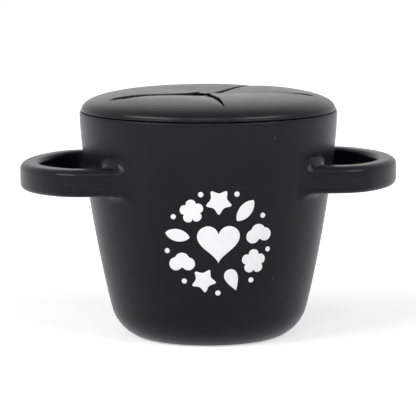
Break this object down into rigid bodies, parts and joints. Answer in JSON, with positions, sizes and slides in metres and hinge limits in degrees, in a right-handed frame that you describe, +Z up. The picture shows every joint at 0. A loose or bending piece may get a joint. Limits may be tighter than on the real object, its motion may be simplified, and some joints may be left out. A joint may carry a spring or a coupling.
{
  "type": "toddler snack cup",
  "caption": "Tapered soft silicone snack cup with two flat loop handles and a push-in domed lid that is slit into flexible petals a small hand can reach through.",
  "frame": {"origin": "centre of the foot, on the surface that the cup stands on", "axes": "+Z up along the cup's axis; +X towards the right handle as seen from the front; the front faces -Y"},
  "size_m": [0.131, 0.0894, 0.0856],
  "materials": {
    "cup_silicone": "matt black moulded silicone",
    "lid_silicone": "matt black moulded silicone",
    "white_print": "matt white ink printed on the cup's front"
  },
  "bodies": {
    "cup": {"cup_shell": "cup_silicone", "left_handle": "cup_silicone", "right_handle": "cup_silicone"},
    "lid": {"lid_ring": "lid_silicone"},
    "petal_back": {"petal_back": "lid_silicone"},
    "petal_left": {"petal_left": "lid_silicone"},
    "petal_front_left": {"petal_front_left": "lid_silicone"},
    "petal_front_right": {"petal_front_right": "lid_silicone"},
    "petal_right": {"petal_right": "lid_silicone"}
  },
  "joints": [
    {"name": "lid_lift", "type": "slide", "parent": "cup", "child": "lid", "axis": [0, 0, 1], "range_m": [0, 0.05]},
    {"name": "petal_back_bend", "type": "hinge", "parent": "lid", "child": "petal_back", "pos_m": [-0.00193, 0.03068, 0.08347], "axis": [0.998, 0.0628, 0], "range_deg": [-50, 75], "stiffness_Nm_per_rad": 0.004, "springref_deg": -2.12},
    {"name": "petal_left_bend", "type": "hinge", "parent": "lid", "child": "petal_left", "pos_m": [-0.02978, 0.00764, 0.08347], "axis": [0.2487, 0.9686, 0], "range_deg": [-50, 75], "stiffness_Nm_per_rad": 0.004, "springref_deg": -2.12},
    {"name": "petal_front_left_bend", "type": "hinge", "parent": "lid", "child": "petal_front_left", "pos_m": [-0.01647, -0.02596, 0.08347], "axis": [-0.8443, 0.5358, 0], "range_deg": [-50, 75], "stiffness_Nm_per_rad": 0.004, "springref_deg": -2.12},
    {"name": "petal_front_right_bend", "type": "hinge", "parent": "lid", "child": "petal_front_right", "pos_m": [0.0196, -0.02369, 0.08347], "axis": [-0.7705, -0.6374, 0], "range_deg": [-50, 75], "stiffness_Nm_per_rad": 0.004, "springref_deg": -2.12},
    {"name": "petal_right_bend", "type": "hinge", "parent": "lid", "child": "petal_right", "pos_m": [0.02858, 0.01132, 0.08347], "axis": [0.3681, -0.9298, 0], "range_deg": [-50, 75], "stiffness_Nm_per_rad": 0.004, "springref_deg": -2.12}
  ]
}
